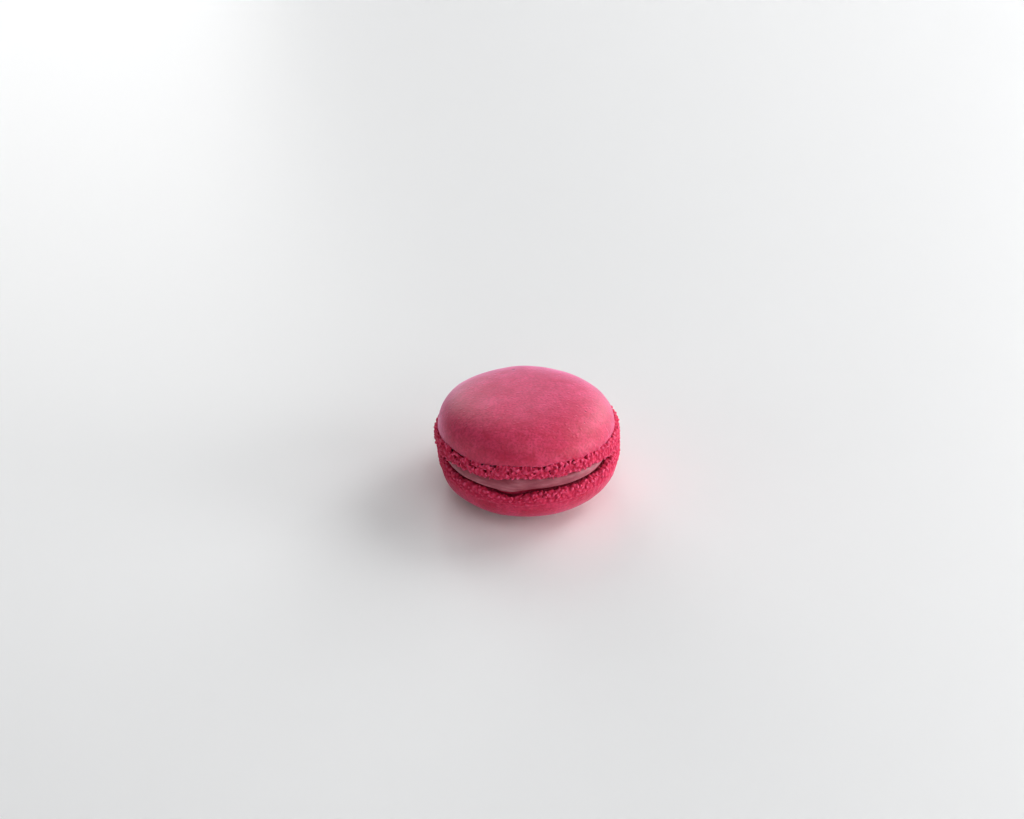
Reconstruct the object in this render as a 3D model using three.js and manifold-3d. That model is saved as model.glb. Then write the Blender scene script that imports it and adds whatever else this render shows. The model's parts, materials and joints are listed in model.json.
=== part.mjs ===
// A raspberry macaron: two domed almond shells, each with a crumbly ruffled foot round its rim, and a
// soft filling between them. The upper shell leans back, so the filling shows most at the front.
// Millimetres, +Z up, the front faces -Y. The origin is the middle of the base.

import * as THREE from "three";
import { mergeVertices } from "three/addons/utils/BufferGeometryUtils.js";
import Module from "manifold-3d";

const wasm = await Module();
wasm.setup();

// ---- driving dimensions ----------------------------------------------------------------------------

const SKIN_RADIUS = 22.7; // edge of a shell's smooth skin
const FOOT_PROUD = 0.75; // how far the foot stands out past the skin
const DOME_ROUND = 3.25; // superellipse power across the dome: higher is squarer at the shoulder
const DOME_CROWN = 2.0; // superellipse power up the dome: lower is more pointed

const UPPER_DOME_HEIGHT = 8.6; // from the skin's edge to the crown
const UPPER_FOOT_HEIGHT = 3.2; // from the flat underside to the skin's edge
const UPPER_UNDERSIDE_Z = 16.35; // middle of the upper shell's underside above the table
const UPPER_LEAN_BACK = THREE.MathUtils.degToRad(3.8); // front edge raised
const UPPER_LEAN_LEFT = THREE.MathUtils.degToRad(1.6); // right edge raised
const UPPER_SHIFT = { x: -0.9, y: -0.6 }; // the shells aren't quite in line
const UPPER_FOOT_LIP = 0.6; // how far the foot's edge hangs past the underside all round
const UPPER_POLE_SHIFT = { x: -1.1, y: 0 }; // the crown lies a little left of the rim's middle

const LOWER_DOME_HEIGHT = 9.45;
const LOWER_FOOT_HEIGHT = 3.75;
const LOWER_FOOT_LIP = 0.0;
const LOWER_RIM_SLOPE = { x: 0.039, y: 0.025 }; // the lower rim rises to the right and to the back
const LOWER_POLE_SHIFT = { x: -1.6, y: -0.3 }; // the base lies a little left of the rim's middle
const BASE_FLAT = 0.12; // height pressed flat where the lower dome rests

const SIDE_GAP = 0.85; // between the two feet at the sides and the back
const GAP_OPENS_FROM = 80; // degrees from the front, where the feet start to part
const GAP_OPEN_AT = 48; // degrees from the front, inside which they are fully apart

const FILLING_RADIUS = 22.0; // at the front, where it bulges most
const FILLING_SIDE_RADIUS = 20.2; // at the sides and the back
const FILLING_BULGES_TO = 42; // degrees from the front, inside which it reaches its full radius
const FILLING_UNDERCUT = 1.7; // how far the lower edge curls in over the lower shell
const FILLING_CLEARANCE = 0.1; // between the filling and each shell
const FILLING_PRESSED = 0.85; // how much lower its upper edge is under the upper foot
const FILLING_SAG = 0.85; // share of a dip in the lower foot that it sags into

const NODULE = 1.7; // size of the foot's crumbs
const NODULE_RELIEF = 0.8; // how far they stand out
const PIT_DEPTH = 0.9; // the holes just under the skin's edge
const GRIT = 0.1; // finer roughness on the crumbs
const RIM_RAGGED = 0.25; // up and down roughness of the foot's free edge
const SKIN_UNEVEN = 0.13; // slow hollows and swellings of the skin
const SKIN_PATCH = 9; // how wide those are

const DOME_SEGMENTS = 80;
const DOME_ROWS = 9;
const FOOT_SEGMENTS = 200;
const FOOT_OUTER_ROWS = 8;
const FILLING_SEGMENTS = 80;

// Waves round a rim: degrees from the front (positive to the right), half width in degrees, height.
const UPPER_SKIN_WAVES = [[-92, 20, -0.45], [-35, 11, -0.6], [-4, 11, 0.4], [24, 12, 0.4],
  [76, 18, -0.4], [125, 22, 0.3], [-150, 25, 0.3]];
const UPPER_RIM_WAVES = [[-24, 11, -0.65], [-4, 10, 0.35], [33, 14, 0.2], [-48, 14, -0.5]];
const LOWER_SKIN_WAVES = [[-62, 20, -0.8], [-10, 12, -0.1], [30, 18, 0.4], [120, 24, -0.3],
  [-135, 26, 0.3]];
const LOWER_RIM_WAVES = [[-13, 13, -1.5], [12, 10, 0.1], [40, 12, 0.1], [-62, 18, -1.1]];
const FILLING_DROOPS = [[-15, 10, -0.55], [-45, 12, -0.2], [22, 9, 0.25]];
// The same, but outwards instead of up.
const UPPER_FOOT_SPREADS = [[90, 28, 0.45]];
const LOWER_FOOT_SPREADS = [[72, 25, -0.3]];
const FILLING_SPREADS = [[-42, 26, 1.2], [-12, 8, 0.3], [-70, 13, 1.4]];

// ---- seeded noise ----------------------------------------------------------------------------------

/** A repeatable value from 0 to 1 for a lattice point. */
function hash(i, j, k, seed) {
  let h = Math.imul(i, 374761393) ^ Math.imul(j, 668265263) ^ Math.imul(k, 2147483647 - 62089911);
  h = Math.imul(h ^ Math.imul(seed, 40503) ^ (h >>> 13), 1274126177);
  return ((h ^ (h >>> 16)) >>> 0) / 4294967296;
}

/** Smooth noise from -1 to 1 with the given patch size. */
function softNoise(point, size, seed) {
  const p = [point.x / size, point.y / size, point.z / size];
  const base = p.map(Math.floor);
  const ease = p.map((value, axis) => THREE.MathUtils.smootherstep(value - base[axis], 0, 1));
  let sum = 0;
  for (let corner = 0; corner < 8; corner++) {
    const step = [corner & 1, (corner >> 1) & 1, corner >> 2];
    const weight = step.reduce((w, s, axis) => w * (s ? ease[axis] : 1 - ease[axis]), 1);
    sum += weight * hash(base[0] + step[0], base[1] + step[1], base[2] + step[2], seed);
  }
  return 2 * sum - 1;
}

/** Rounded crumbs: 1 in the middle of a crumb, falling to 0 in the creases between them. */
function crumbs(point, size, seed) {
  const p = [point.x / size, point.y / size, point.z / size];
  const base = p.map(Math.floor);
  let nearest = 9;
  for (let i = -1; i <= 1; i++) {
    for (let j = -1; j <= 1; j++) {
      for (let k = -1; k <= 1; k++) {
        const cell = [base[0] + i, base[1] + j, base[2] + k];
        const dx = cell[0] + hash(...cell, seed) - p[0];
        const dy = cell[1] + hash(...cell, seed + 1) - p[1];
        const dz = cell[2] + hash(...cell, seed + 2) - p[2];
        nearest = Math.min(nearest, dx * dx + dy * dy + dz * dz);
      }
    }
  }
  return Math.max(0, 1 - nearest);
}

/** Sum of the waves in a list at an angle from the front, in degrees. */
function waves(list, angle) {
  return list.reduce((sum, [middle, width, height]) => {
    const off = THREE.MathUtils.euclideanModulo(angle - middle + 180, 360) - 180;
    return sum + height * Math.exp(-((off / width) ** 2));
  }, 0);
}

/** Degrees from the front, positive to the right. */
function angleOf(point) {
  return THREE.MathUtils.radToDeg(Math.atan2(point.x, -point.y));
}

// ---- how the two rims face each other --------------------------------------------------------------

/** Height of the lower shell's flat upper face. */
function lowerFace(x, y) {
  return LOWER_DOME_HEIGHT + LOWER_FOOT_HEIGHT + LOWER_RIM_SLOPE.x * x + LOWER_RIM_SLOPE.y * y;
}

/** Height of the upper shell's flat underside. */
function upperFace(x, y) {
  const slopeX = Math.tan(UPPER_LEAN_LEFT);
  const slopeY = -Math.tan(UPPER_LEAN_BACK);
  return UPPER_UNDERSIDE_Z + slopeX * (x - UPPER_SHIFT.x) + slopeY * (y - UPPER_SHIFT.y);
}

/** How far each foot's free edge reaches past its shell's flat face, to close the gap at the sides. */
function rimReach(angle) {
  const turn = THREE.MathUtils.degToRad(angle);
  const x = SKIN_RADIUS * Math.sin(turn);
  const y = -SKIN_RADIUS * Math.cos(turn);
  const between = upperFace(x, y) - lowerFace(x, y);
  const closed = THREE.MathUtils.smoothstep(Math.abs(angle), GAP_OPEN_AT, GAP_OPENS_FROM);
  return Math.max(0, closed * (between - SIDE_GAP) / 2);
}

// ---- solids ----------------------------------------------------------------------------------------

/** A closed lathe about Z whose poles and seam are merged; `turnOver` puts its top face down. */
function lathe(profile, segments, turnOver) {
  const shape = new THREE.LatheGeometry(profile.map(([r, z]) => new THREE.Vector2(r, z)), segments);
  shape.rotateX(turnOver ? -Math.PI / 2 : Math.PI / 2);
  shape.deleteAttribute("normal");
  shape.deleteAttribute("uv");
  return mergeVertices(shape, 1e-4);
}

/** Moves every vertex by a function of its place. */
function reshape(shape, move) {
  const places = shape.getAttribute("position");
  const point = new THREE.Vector3();
  for (let i = 0; i < places.count; i++) {
    point.fromBufferAttribute(places, i);
    move(point);
    places.setXYZ(i, point.x, point.y, point.z);
  }
  return shape;
}

/** The closed solid of a merged geometry, without the flat triangles that a lathe has at its poles. */
function solidOf(shape) {
  const index = shape.index.array;
  const corners = [];
  for (let i = 0; i < index.length; i += 3) {
    const [a, b, c] = [index[i], index[i + 1], index[i + 2]];
    if (a !== b && b !== c && c !== a) corners.push(a, b, c);
  }
  const vertProperties = new Float32Array(shape.getAttribute("position").array);
  const triVerts = new Uint32Array(corners);
  return new wasm.Manifold(new wasm.Mesh({ numProp: 3, vertProperties, triVerts }));
}

/** The geometry of two closed shapes joined into one. */
function joined(one, other) {
  const { vertProperties, triVerts } = solidOf(one).add(solidOf(other)).getMesh();
  const shape = new THREE.BufferGeometry();
  shape.setAttribute("position", new THREE.BufferAttribute(new Float32Array(vertProperties), 3));
  shape.setIndex(new THREE.BufferAttribute(new Uint32Array(triVerts), 1));
  return shape;
}

/** The named mesh of a shape, in its own material. */
function meshOf(name, shape, { color, roughness }) {
  shape.computeVertexNormals();
  const mesh = new THREE.Mesh(shape, new THREE.MeshStandardMaterial({ color, roughness, metalness: 0 }));
  mesh.name = name;
  return mesh;
}

/** Profile of a shell without its foot: flat face, set-back side, skin edge and superellipse dome. */
function bodyProfile(footHeight, domeHeight) {
  const profile = [[0, 0], [SKIN_RADIUS - 4.5, 0], [SKIN_RADIUS - 1.9, 0.1],
    [SKIN_RADIUS - 1.3, footHeight * 0.5], [SKIN_RADIUS - 0.5, footHeight - 0.45]];
  for (let row = 0; row <= DOME_ROWS; row++) {
    const turn = (row / DOME_ROWS) ** 0.8 * Math.PI / 2;
    const r = row === DOME_ROWS ? 0 : SKIN_RADIUS * Math.cos(turn) ** (2 / DOME_ROUND);
    profile.push([r, footHeight + domeHeight * Math.sin(turn) ** (2 / DOME_CROWN)]);
  }
  return profile;
}

/** Closed section of the foot: a swollen outer side and a plain inner side hidden in the body. */
function footSection(footHeight, lip) {
  const middle = footHeight * 0.5;
  const section = [[SKIN_RADIUS - 2.6, middle]];
  for (let row = 0; row < FOOT_OUTER_ROWS; row++) {
    const turn = (row / (FOOT_OUTER_ROWS - 1) - 0.5) * 1.32 * Math.PI;
    const r = SKIN_RADIUS - 1.15 + (1.15 + FOOT_PROUD * 0.75) * Math.cos(turn);
    section.push([r, middle + (turn < 0 ? middle + lip : middle) * Math.sin(turn)]);
  }
  section.push(section[0]);
  return section;
}

/**
 * One shell, dome up, or dome down when `side` is -1. Its flat face lies at z = 0, and its own height
 * is measured from there towards the dome.
 */
function makeShell(
  { side, domeHeight, footHeight, lip, poleShift, skinWaves, rimWaves, footSpreads, seed },
) {
  const shiftOf = (angle, height) => {
    const atSkin = THREE.MathUtils.smoothstep(height, 0.6, footHeight);
    const overDome = THREE.MathUtils.smoothstep(height, footHeight, footHeight + domeHeight * 0.8);
    const atRim = 1 - THREE.MathUtils.smoothstep(height, 0.4, footHeight * 0.8);
    // Waves are given upwards in the world, so they change sign on the shell that lies dome down.
    const edge = side * waves(skinWaves, angle) * atSkin * (1 - overDome);
    const rim = side * waves(rimWaves, angle) * atRim;
    return edge + rim - rimReach(angle) * atRim;
  };
  const body = reshape(lathe(bodyProfile(footHeight, domeHeight), DOME_SEGMENTS, side < 0), (point) => {
    const height = side * point.z;
    const reach = Math.hypot(point.x, point.y);
    const onSkin = THREE.MathUtils.smoothstep(height, footHeight * 0.5, footHeight);
    const swell = SKIN_UNEVEN * softNoise(point, SKIN_PATCH, seed) * onSkin;
    const oval = 1 + onSkin * 0.006 * Math.cos(2 * Math.atan2(point.y, point.x) + seed);
    const flat = height <= 0.2;
    const lift = flat ? 0 : shiftOf(angleOf(point), height) * (reach > 1 ? 1 : 0);
    const toPole = THREE.MathUtils.clamp((height - footHeight) / domeHeight, 0, 1) ** 2;
    point.x = point.x * oval * (1 + swell / 40) + toPole * poleShift.x;
    point.y = point.y * oval * (1 + swell / 40) + toPole * poleShift.y;
    point.z = side * (height + swell + lift);
  });
  const foot = reshape(lathe(footSection(footHeight, lip), FOOT_SEGMENTS, side < 0), (point) => {
    const height = side * point.z;
    const reach = Math.hypot(point.x, point.y);
    const outer = THREE.MathUtils.smoothstep(reach, SKIN_RADIUS - 2, SKIN_RADIUS - 0.6);
    const bump = crumbs(point, NODULE, seed + 10) * NODULE_RELIEF - NODULE_RELIEF * 0.45;
    const angle = angleOf(point);
    const spread = 0.3 * softNoise(point, 5, seed + 20) + GRIT * softNoise(point, 0.5, seed + 25)
      + waves(footSpreads, angle);
    const nearSkin = THREE.MathUtils.smoothstep(height, footHeight * 0.55, footHeight * 0.8);
    const pit = Math.max(0, softNoise(point, 1.3, seed + 30)) * PIT_DEPTH * nearSkin;
    const ragged = RIM_RAGGED * softNoise(point, 1.6, seed + 40) * (1 - nearSkin);
    const out = outer * (bump + spread - pit);
    const grow = (reach + out) / reach;
    point.x *= grow;
    point.y *= grow;
    point.z = side * (height + outer * ragged + shiftOf(angle, height));
  });
  return joined(body, foot);
}

/** The lower shell, its rim sloped over a level base that is pressed flat where it rests. */
function lowerShell() {
  const full = LOWER_DOME_HEIGHT + LOWER_FOOT_HEIGHT;
  const shell = makeShell({
    side: -1, domeHeight: LOWER_DOME_HEIGHT, footHeight: LOWER_FOOT_HEIGHT, lip: LOWER_FOOT_LIP,
    poleShift: LOWER_POLE_SHIFT, skinWaves: LOWER_SKIN_WAVES, rimWaves: LOWER_RIM_WAVES,
    footSpreads: LOWER_FOOT_SPREADS, seed: 7,
  });
  return reshape(shell, (point) => {
    const level = THREE.MathUtils.clamp((point.z + full) / LOWER_DOME_HEIGHT, 0, 1);
    const slope = LOWER_RIM_SLOPE.x * point.x + LOWER_RIM_SLOPE.y * point.y;
    point.z = Math.max(BASE_FLAT, point.z + full + level * slope);
  });
}

/** The upper shell, leaning back and a little to the left on the filling. */
function upperShell() {
  const shell = makeShell({
    side: 1, domeHeight: UPPER_DOME_HEIGHT, footHeight: UPPER_FOOT_HEIGHT, lip: UPPER_FOOT_LIP,
    poleShift: UPPER_POLE_SHIFT, skinWaves: UPPER_SKIN_WAVES, rimWaves: UPPER_RIM_WAVES,
    footSpreads: UPPER_FOOT_SPREADS, seed: 3,
  });
  return shell
    .rotateX(-UPPER_LEAN_BACK)
    .rotateY(-UPPER_LEAN_LEFT)
    .translate(UPPER_SHIFT.x, UPPER_SHIFT.y, UPPER_UNDERSIDE_Z);
}

/** The filling: a soft disc whose faces follow the shells, with a bulging, slightly drooping edge. */
function filling() {
  // Each row of the edge is how far in from the widest part it lies, and how far up between the shells.
  const edge = [[FILLING_UNDERCUT, 0], [0.75, 0.1], [0.2, 0.25], [0, 0.45], [0.05, 0.65], [0.3, 0.85],
    [0.9, 1], [FILLING_UNDERCUT + 1, 1]];
  const profile = [[0, 0], ...edge.map(([inset, up]) => [FILLING_RADIUS - inset, up]), [0, 1]];
  return reshape(lathe(profile, FILLING_SEGMENTS, false), (point) => {
    const reach = Math.hypot(point.x, point.y);
    const up = point.z;
    if (reach > 0) {
      const angle = angleOf(point);
      const toSide = THREE.MathUtils.smoothstep(Math.abs(angle), FILLING_BULGES_TO, GAP_OPENS_FROM);
      const uneven = 0.2 * softNoise(new THREE.Vector3(point.x, point.y, 0), 5, 11);
      const spread = waves(FILLING_SPREADS, angle) + uneven;
      const grow = 1 + (toSide * (FILLING_SIDE_RADIUS - FILLING_RADIUS) + spread) / reach;
      point.x *= grow;
      point.y *= grow;
      point.z = up + waves(FILLING_DROOPS, angle) * 0.12 * Math.sin(Math.PI * up);
    }
    const angle = angleOf(point);
    const underFoot = THREE.MathUtils.smoothstep(reach, FILLING_RADIUS - 2.5, FILLING_RADIUS - 1);
    const pastBody = THREE.MathUtils.smoothstep(reach, FILLING_RADIUS - 1, FILLING_RADIUS - 0.3);
    const upperFoot = Math.max(0, -waves(UPPER_RIM_WAVES, angle)) + rimReach(angle);
    // Where the lower foot stands up the filling lies on it, and where it dips the filling sags over it.
    const lowerFoot = rimReach(angle) + waves(LOWER_RIM_WAVES, angle);
    const low = lowerFace(point.x, point.y) + FILLING_CLEARANCE
      + underFoot * (RIM_RAGGED + Math.max(0, lowerFoot))
      + pastBody * FILLING_SAG * Math.min(0, lowerFoot);
    const high = upperFace(point.x, point.y) - FILLING_CLEARANCE
      - underFoot * (FILLING_PRESSED + upperFoot);
    point.z = THREE.MathUtils.lerp(low, high, point.z);
  });
}

// ---- the macaron -----------------------------------------------------------------------------------

const biscuit = { color: "#c4476a", roughness: 0.55 };
const cream = { color: "#a8646f", roughness: 0.45 };

const pieces = [
  meshOf("shell_bottom", lowerShell(), biscuit),
  meshOf("filling", filling(), cream),
  meshOf("shell_top", upperShell(), biscuit),
];

const macaron = new THREE.Group();
macaron.add(...pieces);

// The origin is set at the middle of the base by moving every solid alike.
const box = new THREE.Box3().setFromObject(macaron, true);
const middle = box.getCenter(new THREE.Vector3());
for (const piece of pieces) piece.geometry.translate(-middle.x, -middle.y, -box.min.z);

export default macaron;
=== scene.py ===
"""Dresses a french macaron, 48 mm across: two baked almond shells, each with a smooth satin skin and a
crumbly foot round its rim, and a soft band of berry cream that shows most at the front.

Sizes are millimetres and degrees in the row frame (+Z up, the front faces -Y); meshes are in metres.
"""

import json
import logging
import math
from abc import ABC, abstractmethod
from collections.abc import Sequence
from dataclasses import dataclass
from enum import Enum

import bpy
import numpy as np
from bpy.types import Material, Node, NodeSocket, NodeTree, Object, bpy_prop_collection
from mathutils import Matrix, Vector

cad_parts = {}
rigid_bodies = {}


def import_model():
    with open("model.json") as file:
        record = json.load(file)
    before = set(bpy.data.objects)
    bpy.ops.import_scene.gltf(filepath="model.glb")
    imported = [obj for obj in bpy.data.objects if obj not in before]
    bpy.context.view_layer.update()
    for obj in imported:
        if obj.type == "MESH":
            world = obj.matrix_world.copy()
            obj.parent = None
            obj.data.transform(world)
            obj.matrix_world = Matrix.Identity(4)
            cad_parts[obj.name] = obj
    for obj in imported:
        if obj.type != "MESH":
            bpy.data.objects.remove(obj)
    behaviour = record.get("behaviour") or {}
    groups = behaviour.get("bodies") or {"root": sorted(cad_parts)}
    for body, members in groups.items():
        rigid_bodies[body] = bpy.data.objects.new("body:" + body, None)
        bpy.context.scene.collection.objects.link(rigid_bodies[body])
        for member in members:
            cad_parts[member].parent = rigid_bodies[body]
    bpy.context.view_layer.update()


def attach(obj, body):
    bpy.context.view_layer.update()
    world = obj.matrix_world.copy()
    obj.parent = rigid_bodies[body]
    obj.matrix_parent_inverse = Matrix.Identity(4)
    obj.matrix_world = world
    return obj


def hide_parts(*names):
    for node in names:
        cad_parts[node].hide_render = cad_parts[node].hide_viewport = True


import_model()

MM = 0.001
BODY = "root"
PROBE_STEP = 101  # vertices between two tries to find the largest part of a mesh
RELIEF = "relief"  # the attribute that tells how far a spot of a foot stands out, in mm, less on its inner side; the crumb's painted highlight and painted shade follow it
LOG = logging.getLogger("macaron")

Array = np.ndarray
Pair = tuple[float, float]
Triple = tuple[float, float, float]
Outline = tuple[Array, Array, Array]  # each point's share of the way, radius and height
Wave = tuple[float, float, float]  # degrees from the front, half width in degrees, height in mm
Waves = Sequence[Wave]
Burst = tuple[float, float, float, float]  # place and radius of a burst air bubble, in mm
Noise = tuple[float, float]  # height and width of a patch of unevenness, in mm
Span = tuple[float, float]  # where a change sets in, and where it is complete
Output = Node | NodeSocket  # a node stands for its first output in use

LOW_BITS = 0xFFFFFFFF
AXIS_FACTORS = (374761393, 668265263, 2085393736)  # large, so that neighbouring cells differ
SEED_FACTOR = 40503
MIX_FACTOR = 1274126177


# ---- numbers: waves, noise and colours ----


def smoothstep(value: Array, low: float, high: float) -> Array:
    """Eases from 0 at `low` to 1 at `high`.

    Args:
        value: The numbers to ease.
        low: Where the rise starts.
        high: Where it ends.

    Returns:
        Numbers from 0 to 1.
    """
    share = np.clip((value - low) / (high - low), 0, 1)
    return share * share * (3 - 2 * share)


def waves(rule: Waves, angle: Array) -> Array:
    """Adds up rounded waves round a rim.

    Args:
        rule: The middle, half width and height of each wave.
        angle: Degrees from the front, positive to the right.

    Returns:
        The height at each angle, in mm.
    """
    total = np.zeros_like(angle)
    for middle, width, height in rule:
        off = (angle - middle + 180) % 360 - 180
        total += height * np.exp(-((off / width) ** 2))
    return total


def angle_of(points: Array) -> Array:
    """Degrees from the front of each point, positive to the right."""
    return np.degrees(np.arctan2(points[:, 0], -points[:, 1]))


def lattice_value(cell: Array, seed: int) -> Array:
    """Draws a repeatable value for each cell of a lattice.

    Args:
        cell: Whole-number places, one row each.
        seed: Chooses another pattern.

    Returns:
        A value from 0 to 1 for each row.
    """
    i, j, k = (cell.astype(np.int64) * AXIS_FACTORS).T
    mixed = (i ^ j ^ k) & LOW_BITS
    mixed = ((mixed ^ (seed * SEED_FACTOR) ^ (mixed >> 13)) * MIX_FACTOR) & LOW_BITS
    return (mixed ^ (mixed >> 16)) / (LOW_BITS + 1)


def soft_noise(points: Array, size: float, seed: int) -> Array:
    """Smooth noise, as slow hollows and swellings.

    Args:
        points: Places in mm, one row each.
        size: Width of a patch in mm.
        seed: Chooses another pattern.

    Returns:
        A value from -1 to 1 for each point.
    """
    scaled = points / size
    base = np.floor(scaled)
    part = scaled - base
    ease = part**3 * (part * (6 * part - 15) + 10)
    total = np.zeros(len(points))
    for corner in range(8):
        step = np.array([corner & 1, corner >> 1 & 1, corner >> 2])
        weight = np.where(step, ease, 1 - ease).prod(axis=1)
        total += weight * lattice_value(base + step, seed)
    return 2 * total - 1


def linear(code: str) -> tuple[float, float, float, float]:
    """Turns an sRGB hex colour into a linear one.

    Args:
        code: A colour such as "#c4476a".

    Returns:
        Red, green, blue and an alpha of 1.
    """
    parts = [int(code[start : start + 2], 16) / 255 for start in (1, 3, 5)]
    turned = [v / 12.92 if v <= 0.04045 else ((v + 0.055) / 1.055) ** 2.4 for v in parts]
    return (*turned, 1.0)


# ---- Blender: meshes ----


def pick(*objects: Object) -> None:
    """Selects these objects alone and makes the first one active."""
    bpy.ops.object.select_all(action="DESELECT")
    for item in objects:
        item.select_set(True)
    bpy.context.view_layer.objects.active = objects[0]


def apply(item: Object, kind: str, **settings: object) -> None:
    """Adds a modifier to an object and applies it.

    Args:
        item: The object.
        kind: The modifier's type.
        settings: Values of its properties.
    """
    pick(item)
    modifier = item.modifiers.new(kind.title(), kind)
    for name, value in settings.items():
        setattr(modifier, name, value)
    bpy.ops.object.modifier_apply(modifier=modifier.name)


def rows_of(items: bpy_prop_collection, name: str) -> Array:
    """What each vertex has under this name, as a row of three."""
    flat = np.empty(len(items) * 3, np.float32)
    items.foreach_get(name, flat)
    return flat.reshape(-1, 3).astype(float)


def points_of(item: Object) -> Array:
    """The object's vertices in mm, one row each."""
    return rows_of(item.data.vertices, "co") / MM


def set_points(item: Object, points: Array) -> None:
    """Moves the object's vertices to these places in mm."""
    item.data.vertices.foreach_set("co", (points * MM).astype(np.float32).ravel())
    item.data.update()


def mode(name: str) -> None:
    """Switches the active object to this mode."""
    bpy.ops.object.mode_set(mode=name)


def rounded_ball(name: str, cuts: int) -> Object:
    """Adds a ball of radius 1 mm with even square faces and no poles.

    Args:
        name: The object's name.
        cuts: Cuts along each edge of the cube that it is made from.

    Returns:
        The new object.
    """
    bpy.ops.mesh.primitive_cube_add(size=2 * MM)
    ball = bpy.context.object
    ball.name = name
    mode("EDIT")
    bpy.ops.mesh.select_all(action="SELECT")
    bpy.ops.mesh.subdivide(number_cuts=cuts)
    bpy.ops.transform.tosphere(value=1)
    mode("OBJECT")
    places = points_of(ball)
    set_points(ball, places / np.linalg.norm(places, axis=1, keepdims=True))
    return ball


def finished(item: Object, material: Material) -> Object:
    """Shades a finished mesh smooth and gives it its one material."""
    pick(item)
    bpy.ops.object.shade_smooth()
    item.data.materials.clear()
    item.data.materials.append(material)
    return item


# ---- Blender: finishes ----


EASED = {"interpolation_type": "SMOOTHSTEP"}
MERINGUE = {"IOR": 1.4, "Subsurface Radius": (1.0, 0.2, 0.25), "Subsurface Scale": 0.6 * MM}


def add(tree: NodeTree, kind: str, inputs: dict | list, **settings: object) -> Node:
    """Adds a node with its settings, and links or sets its inputs.

    Args:
        tree: The node tree.
        kind: The node's type without ShaderNode, then its operation, if it has one.
        inputs: What each input gets, by its name or number, or in their order: a value or an output.
        settings: Values of the node's properties.

    Returns:
        The new node.
    """
    kind, *operation = kind.split()
    node = tree.nodes.new(kind if "Node" in kind else f"ShaderNode{kind}")
    if operation:
        node.operation = operation[0]
    for name, value in settings.items():
        setattr(node, name, value)
    for name, value in inputs.items() if isinstance(inputs, dict) else enumerate(inputs):
        target = node.inputs[name]
        if isinstance(name, str):
            target = next(i for i in node.inputs if i.enabled and i.name == name)
        if isinstance(value, Node):
            value = next(output for output in value.outputs if output.enabled)
        if isinstance(value, NodeSocket):
            tree.links.new(value, target)
        else:
            target.default_value = value
    return node


def new_material(name: str) -> tuple[Material, NodeTree, NodeSocket]:
    """Makes an empty material and gives its tree and the object's own coordinates, in metres."""
    material = bpy.data.materials.new(name)
    material.use_nodes = True
    tree = material.node_tree
    tree.nodes.clear()
    return material, tree, add(tree, "TexCoord", {}).outputs["Object"]


def close_material(tree: NodeTree, relief_mm: Node, inputs: dict[str, object]) -> None:
    """Ends a material in a Principled shader whose bump is a relief in mm.

    Args:
        tree: The node tree.
        relief_mm: Gives the height of the fine relief.
        inputs: The shader's other inputs.
    """
    bump = add(tree, "Bump", {"Height": relief_mm, "Distance": MM, "Strength": 1.0})
    shader = add(tree, "BsdfPrincipled", {**inputs, "Normal": bump})
    add(tree, "OutputMaterial", {"Surface": shader})


def apart(place: Output, size_mm: float, **more: float) -> dict[str, object]:
    """Inputs of a pattern whose features are this far apart, with its detail and roughness."""
    return {"Vector": place, "Scale": 1 / (size_mm * MM), **more}


def ramp(value: Output, span: Span, ends: Span = (0.0, 1.0)) -> dict[str, object]:
    """Inputs that take a value from one end to the other while it goes over its span."""
    names = ("From Min", "From Max", "To Min", "To Max")
    return {"Value": value, **dict(zip(names, (*span, *ends)))}


def layered(tree: NodeTree, value: Output, colour: str, layers: Sequence[tuple[Span, str]]) -> Node:
    """Lays colours over a first one, each where a value goes over its span.

    Args:
        tree: The node tree.
        value: The value that they all follow.
        colour: The first colour.
        layers: The span and the colour of each layer.

    Returns:
        The node that gives the colour.
    """
    base = linear(colour)
    for span, over in layers:
        where = add(tree, "MapRange", ramp(value, span), **EASED)
        base = add(tree, "Mix", {"Factor": where, "A": base, "B": linear(over)}, data_type="RGBA")
    return base


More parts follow.
